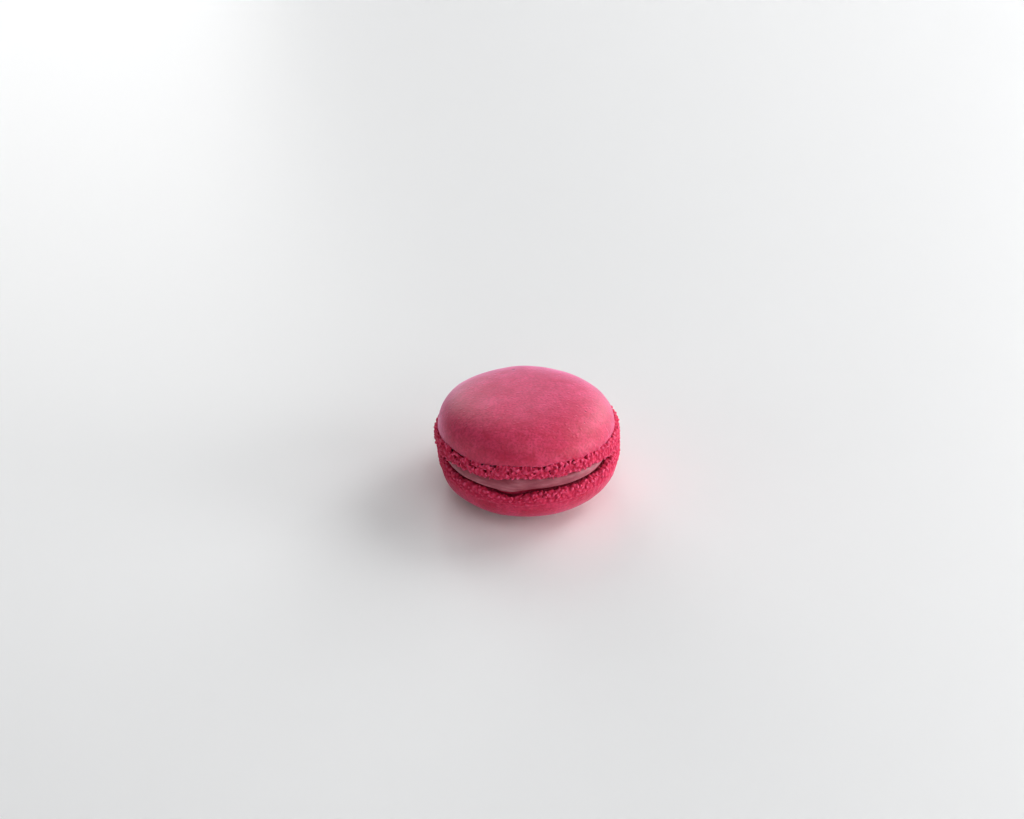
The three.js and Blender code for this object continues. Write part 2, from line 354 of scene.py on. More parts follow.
@dataclass(frozen=True)
class BakedSkin:
    """Almond meringue skin, rested and baked: dry and satin, a little powdery, with the grain of the ground
    almonds under it and a few burst air bubbles. Its pinholes and burst bubbles are dented only in the bump
    and painted dark red as painted shade in the pits."""

    name: str = "baked_almond_skin"
    colour: str = "#c9254c"
    pale: str = "#dd3b66"
    deep: str = "#a9173b"
    # painted shade: the dark red of the pinholes and burst bubbles, for the shade inside the pits
    pit_shade: str = "#900a2c"
    bloom: str = "#ffb7e5"  # of the powdery sheen
    bloom_weight: float = 0.89
    bloom_roughness: float = 0.43
    gloss: float = 0.55
    roughness: float = 0.5
    scatter: float = 0.25
    mottle_mm: float = 5.0
    grain_mm: float = 0.6
    pimple_mm: float = 1.5  # distance between them
    hole_mm: float = 5.0
    pale_at: Span = (0.38, 0.66)  # of the mottle
    deep_at: Span = (0.6, 0.3)  # of the grain
    deep_most: float = 0.55
    pimple_at: Span = (0.32, 0.05)  # its foot and its top, as shares of the distance
    hole_at: Span = (0.05, 0.02)
    hole_most: float = 0.7
    burst_at: Span = (1.3, 0.6)  # shares of its radius
    grain_relief: float = 0.05
    pimple_relief: float = 0.045
    hole_relief: float = -0.08
    bursts: Sequence[Burst] = ()

    def material(self) -> Material:
        """Makes the material."""
        material, tree, place = new_material(self.name)
        mottle, grain = (
            add(tree, "TexNoise", apart(place, size, Detail=detail, Roughness=rough))
            for size, detail, rough in ((self.mottle_mm, 4.0, 0.7), (self.grain_mm, 2.0, 0.55))
        )
        pimple, hole = (
            add(tree, "TexVoronoi", apart(place, size)) for size in (self.pimple_mm, self.hole_mm)
        )
        clouded, between, raised, sunk = (
            add(tree, "MapRange", ramp(value, span, (0.0, most)), **EASED)
            for value, span, most in (
                (mottle, self.pale_at, 1.0),
                (grain, self.deep_at, self.deep_most),
                (pimple.outputs["Distance"], self.pimple_at, 1.0),
                (hole.outputs["Distance"], self.hole_at, self.hole_most),
            )
        )
        for x, y, z, radius in self.bursts:
            middle = (x * MM, y * MM, z * MM)
            span = tuple(radius * share * MM for share in self.burst_at)
            away = add(tree, "VectorMath DISTANCE", [place, middle])
            burst = add(tree, "MapRange", ramp(away, span), **EASED)
            sunk = add(tree, "Math MAXIMUM", [sunk, burst])
        base = linear(self.colour)
        # the pale mottle and the deep grain are tone that differs at random; the pinholes and burst bubbles
        # get painted shade
        for where, colour in ((clouded, self.pale), (between, self.deep), (sunk, self.pit_shade)):
            base = add(tree, "Mix", {"Factor": where, "A": base, "B": linear(colour)}, data_type="RGBA")
        relief = add(tree, "Math MULTIPLY", [grain, self.grain_relief])
        for shape, height in ((raised, self.pimple_relief), (sunk, self.hole_relief)):
            relief = add(tree, "Math MULTIPLY_ADD", [shape, height, relief])
        close_material(tree, relief, {
            **MERINGUE,
            "Base Color": base,
            "Roughness": self.roughness,
            "Subsurface Weight": self.scatter,
            "Specular IOR Level": self.gloss,
            "Sheen Weight": self.bloom_weight,
            "Sheen Roughness": self.bloom_roughness,
            "Sheen Tint": linear(self.bloom),
        })
        return material


@dataclass(frozen=True)
class BakedCrumb:
    """The risen foot of the shell: an open, foamy crumb, matt and deeper in colour than the skin. Its
    creases get painted shade and its tips a painted highlight, by how far each spot stands out, which it
    reads from the RELIEF attribute."""

    # painted highlight: the lit colour of the crumbs' tips
    tip_highlight: str = "#e95881"
    body: str = "#c9204c"
    # painted shade: the dark colour of the crumbs' creases
    crease_shade: str = "#760726"
    gloss: float = 0.4
    roughness: float = 0.68
    scatter: float = 0.4
    grit_mm: float = 0.25
    grit_relief: float = 0.1
    tip_highlight_at: Span = (0.0, 0.24)  # of the stored relief, in mm, where the painted highlight on the tips sets in and is full
    # of the stored relief, in mm, where the painted shade in the creases sets in and is full
    crease_shade_at: Span = (-0.03, -0.3)

    def material(self) -> Material:
        """Makes the material."""
        material, tree, place = new_material("baked_almond_crumb")
        relief = add(tree, "Attribute", {}, attribute_name=RELIEF).outputs["Fac"]
        # painted highlight on the tips and painted shade in the creases, both by the stored relief
        layers = ((self.tip_highlight_at, self.tip_highlight), (self.crease_shade_at, self.crease_shade))
        grit = add(tree, "TexNoise", apart(place, self.grit_mm, Detail=2.0, Roughness=0.6))
        close_material(tree, add(tree, "Math MULTIPLY", [grit, self.grit_relief]), {
            **MERINGUE,
            "Base Color": layered(tree, relief, self.body, layers),
            "Roughness": self.roughness,
            "Specular IOR Level": self.gloss,
            "Subsurface Weight": self.scatter,
        })
        return material


@dataclass(frozen=True)
class BerryCream:
    """Buttercream coloured with berries, pressed out between the shells: dense and smooth, with a dull
    moist sheen and faint streaks along the way that it spread."""

    colour: str = "#ae5766"
    pale: str = "#be6c7b"
    deep: str = "#9a4455"
    roughness: float = 0.4
    scatter: float = 0.4
    scatter_mm: float = 0.8
    smear_mm: float = 3.5
    smear_thinned: float = 4.0  # how much longer than tall a smear is
    smear_relief: float = 0.04
    pale_at: Span = (0.45, 0.7)  # of the smear
    deep_at: Span = (0.5, 0.25)

    def material(self) -> Material:
        """Makes the material."""
        material, tree, place = new_material("berry_buttercream")
        drawn = add(tree, "Mapping", {"Vector": place, "Scale": (1.0, 1.0, self.smear_thinned)})
        smear = add(tree, "TexNoise", apart(drawn, self.smear_mm, Detail=2.0))
        layers = ((self.pale_at, self.pale), (self.deep_at, self.deep))
        close_material(tree, add(tree, "Math MULTIPLY", [smear, self.smear_relief]), {
            "Base Color": layered(tree, smear, self.colour, layers),
            "Roughness": self.roughness,
            "IOR": 1.45,
            "Subsurface Weight": self.scatter,
            "Subsurface Radius": (1.0, 0.45, 0.5),
            "Subsurface Scale": self.scatter_mm * MM,
        })
        return material


@dataclass(frozen=True)
class GlazedWhite:
    """Glazed white earthenware, as a plain pale table: bright, with a soft gloss."""

    colour: str = "#f4f5f6"
    roughness: float = 0.3
    scatter: float = 0.8
    scatter_mm: float = 19.0
    ripple_mm: float = 60.0
    ripple_relief: float = 0.02

    def material(self) -> Material:
        """Makes the material."""
        material, tree, place = new_material("glazed_white")
        ripple = add(tree, "TexNoise", apart(place, self.ripple_mm, Detail=1.0))
        close_material(tree, add(tree, "Math MULTIPLY", [ripple, self.ripple_relief]), {
            "Base Color": linear(self.colour),
            "Roughness": self.roughness,
            "IOR": 1.5,
            "Subsurface Weight": self.scatter,
            "Subsurface Radius": (1.0, 1.0, 1.0),
            "Subsurface Scale": self.scatter_mm * MM,
        })
        return material


# ---- the macaron ----


@dataclass(frozen=True)
class Stack:
    """How the two shells lie on each other, with the sizes that they and the filling share."""

    skin_radius: float = 22.7  # edge of a shell's smooth skin
    foot_proud: float = 0.75  # how far the foot stands out past the skin
    lower_height: float = 13.2  # of the lower shell's flat upper face
    lower_slope: Pair = (0.039, 0.025)  # its rise to the right and to the back
    upper_underside: float = 16.35
    lean_back: float = 3.8
    lean_left: float = 1.6
    upper_shift: Pair = (-0.9, -0.6)
    side_gap: float = 0.85  # between the two feet at the sides and the back
    gap_opens_from: float = 80.0
    gap_open_at: float = 48.0
    drawn_from: float = 0.4  # height from which a foot is drawn over the gap less
    drawn_to: float = 0.8  # share of its height, above which it isn't drawn
    centring: Triple = (0.655, 0.312, -0.12)  # the box's middle goes to the origin

    def lower_face(self, x: Array, y: Array) -> Array:
        """Height of the lower shell's flat upper face."""
        return self.lower_height + self.lower_slope[0] * x + self.lower_slope[1] * y

    def upper_face(self, x: Array, y: Array) -> Array:
        """Height of the upper shell's flat underside."""
        along_x = math.tan(math.radians(self.lean_left)) * (x - self.upper_shift[0])
        along_y = -math.tan(math.radians(self.lean_back)) * (y - self.upper_shift[1])
        return self.upper_underside + along_x + along_y

    def rim_reach(self, angle: Array) -> Array:
        """How far each foot reaches past its shell's flat face, to close the gap at the sides."""
        turn = np.radians(angle)
        x = self.skin_radius * np.sin(turn)
        y = -self.skin_radius * np.cos(turn)
        closed = smoothstep(np.abs(angle), self.gap_open_at, self.gap_opens_from)
        between = self.upper_face(x, y) - self.lower_face(x, y)
        return np.maximum(0, closed * (between - self.side_gap) / 2)

    def closed_reach(self) -> tuple[float, Triple]:
        """How far each foot reaches where the gap is closed: in the mean, and more to the right and back."""
        mean, right, back = (
            (self.upper_face(x, y) - self.lower_face(x, y) - self.side_gap) / 2
            for x, y in ((0.0, 0.0), (self.skin_radius, 0.0), (0.0, self.skin_radius))
        )
        return mean, (right - mean, back - mean, 0.0)

    def drawn_zone(self, foot_height: float) -> Span:
        """Heights up a foot between which it is drawn over the gap less and less."""
        return self.drawn_from, foot_height * self.drawn_to

    def near_rim(self, reach: Array, within: Span) -> Array:
        """Eases from 0 to 1 towards the skin's edge, between two distances inside it."""
        return smoothstep(reach, self.skin_radius - within[0], self.skin_radius - within[1])


@dataclass(frozen=True)
class Ring:
    """The plain ring that a foot's foam fills, in its shell's own frame."""

    middle: float  # radius of its middle line
    half_width: float
    lowest: float  # height of its free edge
    highest: float  # height of its top


@dataclass(frozen=True)
class Spot:
    """Where a foam's field is worked out, as the outputs of geometry nodes in mm."""

    place: Node
    level: Node  # the place without its height
    reach: Node  # distance from the axis
    height: NodeSocket


@dataclass(frozen=True)
class Foam:
    """The open crumb of a foot, as a field in mm: above 0 inside the crumb, 0 at its surface. It is a
    rounded ring, swollen into crumbs and holed by bubbles."""

    rounding: float = 1.7  # of the ring's corners
    crumb: float = 0.85  # distance between crumbs
    crumb_relief: float = 0.85
    bubble: float = 0.85  # distance between bubbles
    bubble_radius: float = 0.17  # at the free edge of the foot
    bubble_lean: Triple = (0.0, 0.0, 0.04)  # how much larger, for each mm that way
    bubble_squeeze: Triple = (1.0, 1.0, 0.75)  # of their lattice, to make them tall
    bubble_offset: Triple = (31.7, 11.3, 5.1)  # from the lattice of the crumbs
    bubble_rim: float = 0.12  # rounding of their edges
    shut: float = 3.0  # taken off the bubbles where the relief is left out
    grit: float = 0.35
    grit_relief: float = 0.14
    smoother_at_skin: float = 0.0  # share of the relief that is lost up to the skin's edge
    smoother_from: float = 0.45  # share of the height
    relief_within: Span = (1.1, 0.2)  # of the middle line, where the relief sets in and is full
    wall_within: float = 0.8  # of the middle line, where the foam ends inside the shell
    stir: float = 1.6  # size of the swirls that push the even lattices about
    warp: float = 1.0  # how far they push them
    margin_out: float = 3.3  # of the sampled box
    margin_up: float = 1.2
    voxel: float = 0.18
    thinned: float = 0.03  # how readily flat faces are merged

    def nodes(self, ring: Ring, stack: Stack) -> NodeTree:
        """Makes the geometry nodes that give the foot's mesh.

        Args:
            ring: The ring that the foam fills.
            stack: How the shells lie on each other.

        Returns:
            The node tree.
        """
        tree = bpy.data.node_groups.new("foam", "GeometryNodeTree")
        tree.interface.new_socket("Geometry", in_out="OUTPUT", socket_type="NodeSocketGeometry")
        place = add(tree, "GeometryNodeInputPosition", {})
        place = add(tree, "VectorMath SCALE", {0: place, "Scale": 1 / MM})
        level = add(tree, "VectorMath MULTIPLY", [place, (1, 1, 0)])
        reach = add(tree, "VectorMath LENGTH", [level])
        height = add(tree, "SeparateXYZ", [place]).outputs[2]
        spot = Spot(place, level, reach, height)
        smoother_from = ring.lowest + (ring.highest - ring.lowest) * self.smoother_from
        outer, near_skin = (
            add(tree, "MapRange", ramp(value, span, ends), **EASED)
            for value, span, ends in (
                (reach, tuple(ring.middle - inside for inside in self.relief_within), (0.0, 1.0)),
                (height, (smoother_from, ring.highest), (1.0, 1 - self.smoother_at_skin)),
            )
        )
        outer = add(tree, "Math MULTIPLY", [outer, near_skin])
        drawn = self.drawn_down(tree, spot, ring, stack)
        field = self.crumbled(tree, spot, drawn, self.plain(tree, spot, ring), outer)
        wall = ring.middle - self.wall_within
        inner_wall = add(tree, "Math SUBTRACT", [reach, wall])
        field = add(tree, "Math MINIMUM", [field, inner_wall])
        side = ring.middle + self.margin_out
        low = (-side, -side, ring.lowest - self.margin_up)
        high = (side, side, ring.highest + self.margin_up)
        cube = add(tree, "GeometryNodeVolumeCube", {
            "Density": field,
            "Background": -1.0,
            "Min": [value * MM for value in low],
            "Max": [value * MM for value in high],
            **{f"Resolution {a}": int((to - of) / self.voxel) for a, of, to in zip("XYZ", low, high)},
        })
        inputs = {"Volume": cube, "Threshold": 0.0, "Adaptivity": self.thinned}
        add(tree, "NodeGroupOutput", [add(tree, "GeometryNodeVolumeToMesh", inputs)])
        return tree

    def plain(self, tree: NodeTree, spot: Spot, ring: Ring) -> Node:
        """Adds the field of the plain ring."""
        depths = []
        for value, centre, half in (
            (spot.reach, ring.middle, ring.half_width),
            (spot.height, (ring.lowest + ring.highest) / 2, (ring.highest - ring.lowest) / 2),
        ):
            off = add(tree, "Math SUBTRACT", [value, centre])
            off = add(tree, "Math ABSOLUTE", [off])
            depths.append(add(tree, "Math SUBTRACT", [half, off]))
        return add(tree, "Math SMOOTH_MIN", [depths[0], depths[1], self.rounding])

    def drawn_down(self, tree: NodeTree, spot: Spot, ring: Ring, stack: Stack) -> Node:
        """Adds the place that a spot has once the foot's free edge is drawn over the gap at the sides and
        the back. The crumbs are laid out there, so that none of them is stretched.

        Args:
            tree: The node tree.
            spot: Where the field is worked out.
            ring: The ring that the foam fills.
            stack: How the shells lie on each other.

        Returns:
            The place in mm.
        """
        mean, slope = stack.closed_reach()
        way = add(tree, "VectorMath NORMALIZE", [spot.level])
        to_back = add(tree, "SeparateXYZ", [way]).outputs[1]
        angles = (stack.gap_open_at, stack.gap_opens_from)
        closes = tuple(-math.cos(math.radians(angle)) for angle in angles)
        reach = add(tree, "VectorMath DOT_PRODUCT", [way, slope])
        reach = add(tree, "Math ADD", [reach, mean])
        reach = add(tree, "Math MAXIMUM", [reach, 0.0])
        for value, span, ends in (
            (to_back, closes, (0.0, 1.0)),
            (spot.height, stack.drawn_zone(ring.highest), (1.0, 0.0)),
        ):
            share = add(tree, "MapRange", ramp(value, span, ends), **EASED)
            reach = add(tree, "Math MULTIPLY", [reach, share])
        down = add(tree, "CombineXYZ", {2: reach})
        return add(tree, "VectorMath SUBTRACT", [spot.place, down])

    def crumbled(self, tree: NodeTree, spot: Spot, drawn: Node, plain: Node, outer: Node) -> Node:
        """Swells a ring's field into crumbs and opens bubbles in it.

        Args:
            tree: The node tree.
            spot: Where the field is worked out.
            drawn: Gives the place in mm once the foot is drawn over the gap.
            plain: The plain ring's field.
            outer: 1 on the outer side, 0 on the side that is hidden in the shell.

        Returns:
            The field.
        """
        stir = add(tree, "TexNoise", {"Vector": drawn, "Scale": 1 / self.stir, "Detail": 1.0})
        stirred = add(tree, "VectorMath MULTIPLY_ADD", [stir.outputs["Color"], (self.warp,) * 3, drawn])
        crumb = add(tree, "TexVoronoi", {"Vector": stirred, "Scale": 1 / self.crumb})
        inputs = [crumb.outputs["Distance"], -self.crumb_relief, self.crumb_relief / 2]
        swell = add(tree, "Math MULTIPLY_ADD", inputs)
        grit = add(tree, "TexNoise", {"Vector": drawn, "Scale": 1 / self.grit, "Detail": 1.0})
        swell = add(tree, "Math SUBTRACT", [swell, self.grit_relief / 2])
        swell = add(tree, "Math MULTIPLY_ADD", [grit, self.grit_relief, swell])
        body = add(tree, "Math MULTIPLY_ADD", [swell, outer, plain])
        tall = add(tree, "VectorMath MULTIPLY_ADD", [stirred, self.bubble_squeeze, self.bubble_offset])
        bubble = add(tree, "TexVoronoi", {"Vector": tall, "Scale": 1 / self.bubble})
        hole = add(tree, "Math MULTIPLY_ADD", [bubble.outputs["Distance"], self.bubble, -self.bubble_radius])
        lean = add(tree, "VectorMath DOT_PRODUCT", [spot.place, self.bubble_lean])
        hole = add(tree, "Math SUBTRACT", [hole, lean])
        shut = add(tree, "Math MULTIPLY_ADD", [outer, -self.shut, self.shut])
        hole = add(tree, "Math ADD", [hole, shut])
        return add(tree, "Math SMOOTH_MIN", [body, hole, self.bubble_rim])


class Side(Enum):
    """Which way a shell's dome points."""

    UP = 1
    DOWN = -1


@dataclass
class Shell(ABC):
    """One baked shell: its skin and its foot. In its own frame its flat face lies at height 0, and
    height is measured towards the dome."""

    stack: Stack
    node: str
    side: Side
    dome_height: float
    foot_height: float
    foot_lip: float
    pole_shift: Pair  # how far off the rim's middle the crown or the base lies
    skin_waves: Waves
    rim_waves: Waves
    foot_spreads: Waves  # outwards instead of up
    seed: int
    foam: Foam
    ragged_skin: Waves  # where the foot's crumbs lift the skin above them
    dome_round: float = 3.25  # superellipse power across the dome
    dome_crown: float = 2.0  # superellipse power up the dome
    curl: float = 0.35  # radius of the skin's curled edge
    oval: float = 0.006
    unevenness: Sequence[Noise] = ((0.13, 9.0), (0.035, 2.6))
    swell_over: float = 40.0  # mm from the axis, where it swells out as much as up
    waves_from: float = 0.6  # height where the skin's waves set in
    waves_fade: float = 0.8  # share of the dome over which they fade
    waved_within: Span = (3.5, 1.5)  # of the skin's edge
    ragged_reach: float = 3.2  # of the crumbs' lift, up the skin
    bump: float = 0.9  # width of a lifted crumb
    bump_out: float = 0.3
    bump_up: float = 0.25
    fray: float = 0.16  # up and down raggedness of the skin's edge
    fray_patches: Pair = (0.9, 2.2)
    fray_reach: Span = (-0.2, 1.0)  # above the skin's edge
    ring_inset: float = 1.15  # from the skin's edge to the middle of the foot's ring
    ring_half_width: float = 1.25
    ring_proud: float = 0.75  # share of how far the foot stands out that widens the ring
    foot_uneven: Noise = (0.3, 5.0)
    foot_within: Span = (2.0, 0.6)  # of the skin's edge, where the foot is spread
    relief_smoothing: int = 40  # rounds that take the crumbs off a copy
    inner_shade: float = 0.35  # taken off the stored relief of the foot's inner side, as painted shade where it meets the cream
    inner_shade_within: Span = (1.4, 0.2)
    skin_cuts: int = 111
    skin_share: float = 0.74  # of the ball's rows, kept for the dome that shows

    @abstractmethod
    def place(self, points: Array) -> Array:
        """Puts points of the shell's own frame where they lie in the macaron, before centring.

        Args:
            points: Places with the height towards the dome as their third number, in mm.

        Returns:
            The same points in the macaron.
        """

    def lift(self, angle: Array, height: Array) -> Array:
        """How far the waves of the skin's edge and of the foot's free edge move a point up the shell.

        Args:
            angle: Degrees from the front.
            height: Height in the shell's own frame.

        Returns:
            The move in mm, towards the dome.
        """
        foot = self.foot_height
        at_skin = smoothstep(height, self.waves_from, foot)
        over_dome = smoothstep(height, foot, foot + self.dome_height * self.waves_fade)
        at_rim = 1 - smoothstep(height, *self.stack.drawn_zone(foot))
        edge = self.side.value * waves(self.skin_waves, angle) * at_skin * (1 - over_dome)
        rim = self.side.value * waves(self.rim_waves, angle) * at_rim
        return edge + rim - self.stack.rim_reach(angle) * at_rim

    def settle(self, item: Object, points: Array) -> None:
        """Moves an object's vertices from the shell's own frame to their places in the row frame."""
        set_points(item, self.place(points) + self.stack.centring)
        if self.side is Side.DOWN:
            pick(item)
            mode("EDIT")
            bpy.ops.mesh.select_all(action="SELECT")
            bpy.ops.mesh.flip_normals()
            mode("OBJECT")

    def skin_outline(self) -> Outline:
        """Works out the skin's outline from the crown over the edge to the middle of its flat face.

        Returns:
            Each point's share of the way, radius and height.
        """
        radius, foot, curl = self.stack.skin_radius, self.foot_height, self.curl
        turn = np.linspace(math.pi / 2, 0, 160)
        dome_r = radius * np.cos(turn) ** (2 / self.dome_round)
        dome_h = foot + self.dome_height * np.sin(turn) ** (2 / self.dome_crown)
        under = np.linspace(0, math.pi * 0.6, 12)[1:]
        curl_r = radius - curl + curl * np.cos(under)
        curl_h = foot - curl * np.sin(under)
        inner = np.array([[radius - 1.3, foot * 0.5], [radius - 1.9, 0.2], [radius - 3, 0.1], [0, 0.1]])
        r = np.concatenate([dome_r, curl_r, inner[:, 0]])
        h = np.concatenate([dome_h, curl_h, inner[:, 1]])
        way = np.concatenate([[0], np.cumsum(np.hypot(np.diff(r), np.diff(h)))])
        edge = way[len(dome_r) + len(curl_r) - 1]
        share = np.where(
            way <= edge,
            way / edge * self.skin_share,
            self.skin_share + (way - edge) / (way[-1] - edge) * (1 - self.skin_share),
        )
        return share, r, h

    def build_skin(self) -> Object:
        """Shapes a ball into the skin: superellipse dome, curled edge and flat face."""
        foot, radius = self.foot_height, self.stack.skin_radius
        skin = rounded_ball(f"{self.node}_skin", self.skin_cuts)
        ball = points_of(skin)
        share, outline_r, outline_h = self.skin_outline()
        way = np.arccos(np.clip(ball[:, 2], -1, 1)) / math.pi
        reach = np.interp(way, share, outline_r)
        height = np.interp(way, share, outline_h)
        flat = np.maximum(np.hypot(ball[:, 0], ball[:, 1]), 1e-9)
        points = np.column_stack([ball[:, :2] * (reach / flat)[:, None], height])
        angle = angle_of(points)

        turned = points * [1, 1, self.side.value]
        on_skin = smoothstep(height, foot * 0.5, foot)
        swell = sum(
            size * soft_noise(turned, patch, self.seed + n) * on_skin
            for n, (size, patch) in enumerate(self.unevenness)
        )
        near_edge = on_skin * (1 - smoothstep(height, foot, foot + self.ragged_reach))
        lifted = near_edge * waves(self.ragged_skin, angle)
        bumps = np.maximum(0, soft_noise(turned, self.bump, self.seed + 2)) * lifted
        oval = 1 + on_skin * self.oval * np.cos(2 * np.arctan2(points[:, 1], points[:, 0]) + self.seed)
        to_pole = np.clip((height - foot) / self.dome_height, 0, 1) ** 2
        points[:, :2] *= (oval * (1 + swell / self.swell_over) + bumps * self.bump_out / radius)[:, None]
        points[:, :2] += to_pole[:, None] * self.pole_shift
        fine, coarse = self.fray_patches
        fray = self.fray * (
            soft_noise(turned, fine, self.seed + 3) + soft_noise(turned, coarse, self.seed + 4)
        )
        at_edge = on_skin * (1 - smoothstep(height, *(foot + above for above in self.fray_reach)))
        waved = self.lift(angle, height) * self.stack.near_rim(reach, self.waved_within)
        points[:, 2] += swell + bumps * self.bump_up + fray * at_edge + waved
        self.settle(skin, points)
        return skin

    def build_foot(self) -> Object:
        """Fills a ring under the skin's edge with foam, then spreads and waves it round the rim."""
        ring = Ring(
            middle=self.stack.skin_radius - self.ring_inset,
            half_width=self.ring_half_width + self.stack.foot_proud * self.ring_proud,
            lowest=-self.foot_lip,
            highest=self.foot_height,
        )
        bpy.ops.mesh.primitive_torus_add(major_radius=ring.middle * MM, minor_radius=ring.half_width * MM)
        foot = bpy.context.object
        foot.name = f"{self.node}_foot"
        apply(foot, "NODES", node_group=self.foam.nodes(ring, self.stack))
        self.drop_scraps(foot)
        self.keep_relief(foot)

        points = points_of(foot)
        reach = np.hypot(points[:, 0], points[:, 1])
        uneven, patch = self.foot_uneven
        spread = uneven * soft_noise(points * [1, 1, self.side.value], patch, self.seed + 20)
        spread += waves(self.foot_spreads, angle_of(points))
        outside = self.stack.near_rim(reach, self.foot_within)
        points[:, :2] *= (1 + spread * outside / reach)[:, None]
        points[:, 2] += self.lift(angle_of(points), points[:, 2])
        self.settle(foot, points)
        return foot

    def drop_scraps(self, foot: Object) -> None:
        """Deletes every loose scrap and sealed hollow, and keeps the one part that is most of the foot."""
        pick(foot)
        count = len(foot.data.vertices)
        for start in range(0, count, PROBE_STEP):
            mode("EDIT")
            bpy.ops.mesh.select_all(action="DESELECT")
            mode("OBJECT")
            foot.data.vertices[start].select = True
            mode("EDIT")
            bpy.ops.mesh.select_linked()
            if foot.data.total_vert_sel > count / 2:
                break
            mode("OBJECT")
        bpy.ops.mesh.select_all(action="INVERT")
        bpy.ops.mesh.delete(type="VERT")
        mode("OBJECT")

    def keep_relief(self, foot: Object) -> None:
        """Stores how far each vertex stands out from a smoothed copy of the foot, in mm, and less on the
        inner side, which paints shade on the crumb where it meets the cream."""
        pick(foot)
        bpy.ops.object.duplicate()
        smooth = bpy.context.object
        apply(smooth, "SMOOTH", factor=0.5, iterations=self.relief_smoothing)
        places = points_of(foot)
        out = ((places - points_of(smooth)) * rows_of(smooth.data.vertex_normals, "vector")).sum(axis=1)
        bpy.data.objects.remove(smooth)
        inside = 1 - self.stack.near_rim(np.hypot(places[:, 0], places[:, 1]), self.inner_shade_within)
        # painted shade: the inner side, next to the cream, is pushed towards the dark crease colour
        relief = (out - self.inner_shade * inside).astype(np.float32)
        foot.data.attributes.new(RELIEF, "FLOAT", "POINT").data.foreach_set("value", relief)

    def build(self, skin_finish: BakedSkin, crumb_finish: BakedCrumb) -> list[Object]:
        """Builds and dresses the skin and the foot, which together stand for the shell's solid."""
        skin = finished(self.build_skin(), skin_finish.material())
        foot = finished(self.build_foot(), crumb_finish.material())
        for piece in (skin, foot):
            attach(piece, BODY)
            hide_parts(self.node)
        return [skin, foot]


class UpperShell(Shell):
    """The upper shell, dome up, leaning back and a little to the left."""

    def place(self, points: Array) -> Array:
        """Leans the shell and lifts it onto the filling."""
        back = np.array(Matrix.Rotation(-math.radians(self.stack.lean_back), 3, "X"))
        left = np.array(Matrix.Rotation(-math.radians(self.stack.lean_left), 3, "Y"))
        return points @ (left @ back).T + [*self.stack.upper_shift, self.stack.upper_underside]


@dataclass
class LowerShell(Shell):
    """The lower shell, dome down, its rim sloped over a level base that is pressed flat."""

    base_flat: float = 0.12

    def place(self, points: Array) -> Array:
        """Turns the shell over, slopes its rim and presses its base flat."""
        x, y, height = points.T
        full = self.dome_height + self.foot_height
        level = np.clip((full - height) / self.dome_height, 0, 1)
        slope = self.stack.lower_slope[0] * x + self.stack.lower_slope[1] * y
        return np.column_stack([x, y, np.maximum(self.base_flat, full - height + level * slope)])


